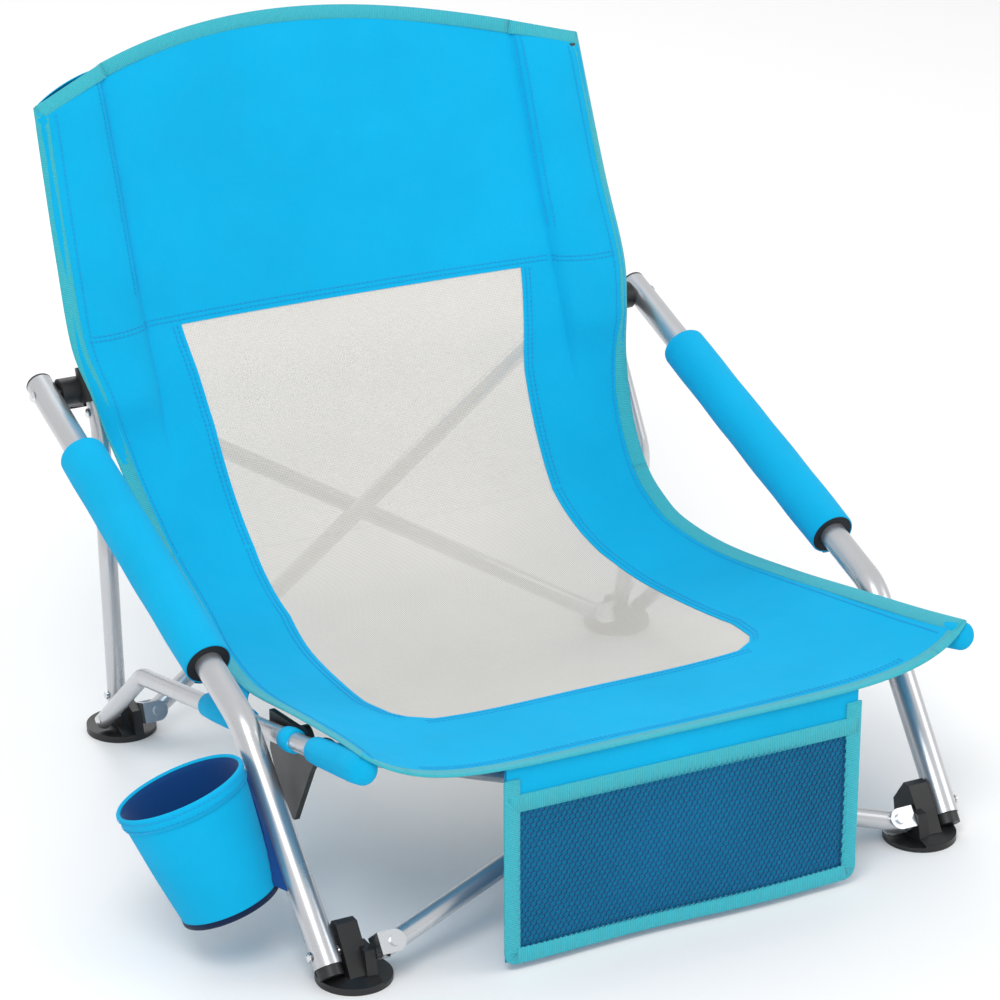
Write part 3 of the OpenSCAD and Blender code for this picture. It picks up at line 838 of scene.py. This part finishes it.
row = 0
z = PZ0 + 12.0
while z < 137:
    x = PX0 + 10 + (CELL_W / 2 if row % 2 else 0)
    while x < PX1 - 12:
        low, right = (x, z), (x + CELL_W / 2, z + CELL_H * 0.35)
        left = (x - CELL_W / 2, z + CELL_H * 0.35)
        net_cord(low, right)
        net_cord(low, left)
        net_cord(right, (right[0], right[1] + CELL_H * 0.65))
        x += CELL_W
    z += CELL_H
    row += 1
obj = new_object("pocket_net", verts, faces, "net", smooth=False)
pocket_body(obj)

# ---------------------------------------------------------------- arm sleeves
CLOSURE_R = 20.6
ARM_END = np.array([290, 199, 311.0])
ARM_KNEE = np.array([290, -218, 170.0])
LEG_FOOT = np.array([282, -352, 16.0])
ARM_DIR = unit(ARM_KNEE - ARM_END)
for side, body in ((-1, "left"), (1, "right")):
    mirror = np.array([side, 1, 1])
    up = unit(np.cross(ARM_DIR, [1, 0, 0]))
    if up[2] < 0:
        up = -up
    rows, uvs = [], []
    for s in np.concatenate([[99.2, 99.6], even(101, 369, 60), [370.4, 370.8]]):
        row, uv_row = [], []
        for k in range(41):
            a = 2 * math.pi * k / 40 - math.pi / 2
            r = 19.6 + 0.35 * math.sin(s / 17 + 2 * math.sin(a)) * math.sin(3 * a + s / 29)
            if s < 100 or s > 370:
                r = 18.9
            if k in (0, 40):
                r += 0.5
            p = ARM_END + ARM_DIR * s + (np.array([1, 0, 0]) * math.cos(a) + up * math.sin(a)) * r
            row.append(p * mirror)
            uv_row.append((s / 1000, r * a / 1000))
        rows.append(row)
        uvs.append(uv_row)
    pts = np.array(rows)
    obj = cloth(f"{body}_arm_cover", pts, np.array(uvs), "fabric", 0.9)
    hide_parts(f"{body}_arm_sleeve")
    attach(obj, f"{body}_arm")
    # the overlap where the cover closes, on its underside
    rows = []
    for s in even(100, 370, 40):
        row = []
        for a in even(-math.pi / 2 - 0.2, -math.pi / 2 + 0.45, 8):
            out = np.array([1, 0, 0]) * math.cos(a) + up * math.sin(a)
            row.append((ARM_END + ARM_DIR * s + out * CLOSURE_R) * mirror)
        rows.append(row)
    pts = np.array(rows)
    uv = np.array([[(p[1] / 1000, c * 0.002) for c, p in enumerate(r)] for r in pts])
    obj = cloth(f"{body}_arm_closure", pts, uv, "strap", 0.8)
    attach(obj, f"{body}_arm")

# ---------------------------------------------------------------- cup holder
CUP_R = 52.0
CUP_BASE_R = 40.0
CUP_TOP = np.array([359, -251, 142.0])
CUP_BASE = np.array([329, -277, 47.0])
cup_up = unit(CUP_TOP - CUP_BASE)
cup_h = float(np.linalg.norm(CUP_TOP - CUP_BASE))
cup_x = unit(np.cross([0, 1, 0], cup_up))
cup_y = np.cross(cup_up, cup_x)


def cup_point(a, h, r):
    p = CUP_BASE + cup_up * h + (cup_x * math.cos(a) + cup_y * math.sin(a)) * r
    return p * np.array([-1, 1, 1])


def lathe(name, profile, mat, sides=64, wobble=0.0):
    verts, uvs = [], []
    for h, r in profile:
        for k in range(sides):
            a = 2 * math.pi * k / sides
            rr = r + wobble * math.sin(3 * a + h / 30) * math.sin(math.pi * min(max(h / cup_h, 0), 1))
            verts.append(cup_point(a, h, rr))
            uvs.append((a * CUP_R / 1000, h / 1000))
    obj = new_object(name, verts, grid_faces(len(profile), sides, wrap=True), mat, uvs)
    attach(obj, "left_arm")
    return obj


def wall(h):
    return CUP_BASE_R + (CUP_R - CUP_BASE_R) * h / cup_h


outer = [(h, wall(h) - 0.4) for h in even(3, cup_h - 1, 30)]
inner = [(h, wall(h) - 2.2) for h in even(cup_h - 1, 3, 20)]
cup = lathe("cup_shell", [(1.0, 0.5), (1.0, CUP_BASE_R - 3)] + outer + [(cup_h, CUP_R - 1.2)],
            "fabric", wobble=0.6)
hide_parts("cup_holder")
lining = lathe("cup_lining", [(cup_h, CUP_R - 1.3)] + inner + [(3.5, CUP_BASE_R - 6), (3.5, 0.5)],
               "lining", wobble=0.6)
obj = lathe("cup_base_ring", [(-0.2, CUP_BASE_R - 6), (-0.8, CUP_BASE_R - 1), (0.4, CUP_BASE_R + 0.5),
                              (4, CUP_BASE_R + 0.5), (5, CUP_BASE_R - 0.2)], "strap")
rim_h = cup_h - 13
obj = lathe("cup_rim", [(rim_h, wall(rim_h) - 0.2), (rim_h + 0.6, wall(rim_h) + 0.9),
                        (cup_h - 0.5, CUP_R + 0.8), (cup_h + 0.8, CUP_R - 0.4),
                        (cup_h + 0.6, CUP_R - 1.6), (cup_h - 1, CUP_R - 2.6)], "fabric")


def cup_line(h, lift=1.0):
    angles = even(0, 2 * math.pi, 90)
    line = [cup_point(a, h, wall(h) + lift) for a in angles]
    normals = [unit(cup_point(a, h, 50) - cup_point(a, h, 40)) for a in angles]
    return line, normals


obj = stitches("cup_stitching", [cup_line(cup_h - 3.0), cup_line(cup_h - 10.0)], lift=0.1)
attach(obj, "left_arm")

# The flange that joins the cup holder to the leg
rows = []
for h in even(6, cup_h - 2, 24):
    leg = LEG_FOOT + (ARM_KNEE - LEG_FOOT) * (0.28 + 0.52 * h / cup_h)
    leg = (leg + np.array([10, 0, 0])) * np.array([-1, 1, 1])
    ring = [cup_point(a, h, wall(h) - 0.5) for a in even(0, 2 * math.pi, 73)]
    near = min(ring, key=lambda p: np.linalg.norm(p - leg))
    rows.append([near + (leg - near) * t for t in even(0, 1, 6)])
pts = np.array(rows)
uv = np.array([[(c * 0.002, r * 0.005) for c in range(pts.shape[1])] for r in range(pts.shape[0])])
obj = cloth("cup_flange", pts, uv, "lining", 2.2)
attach(obj, "left_arm")
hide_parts("cup_strap")

# ---------------------------------------------------------------- floor
mesh = bpy.data.meshes.new("floor")
mesh.from_pydata([(-12, -12, 0), (12, -12, 0), (12, 12, 0), (-12, 12, 0)], [], [(0, 1, 2, 3)])
floor = bpy.data.objects.new("floor", mesh)
scene.collection.objects.link(floor)
floor_mat = Nodes("pale_floor", (0.92, 0.92, 0.92), 0.6)
floor_mat.tint(floor_mat.noise(2), 0.99)
mesh.materials.append(floor_mat.mat)
floor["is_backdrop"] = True

bpy.context.view_layer.update()
low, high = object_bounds()
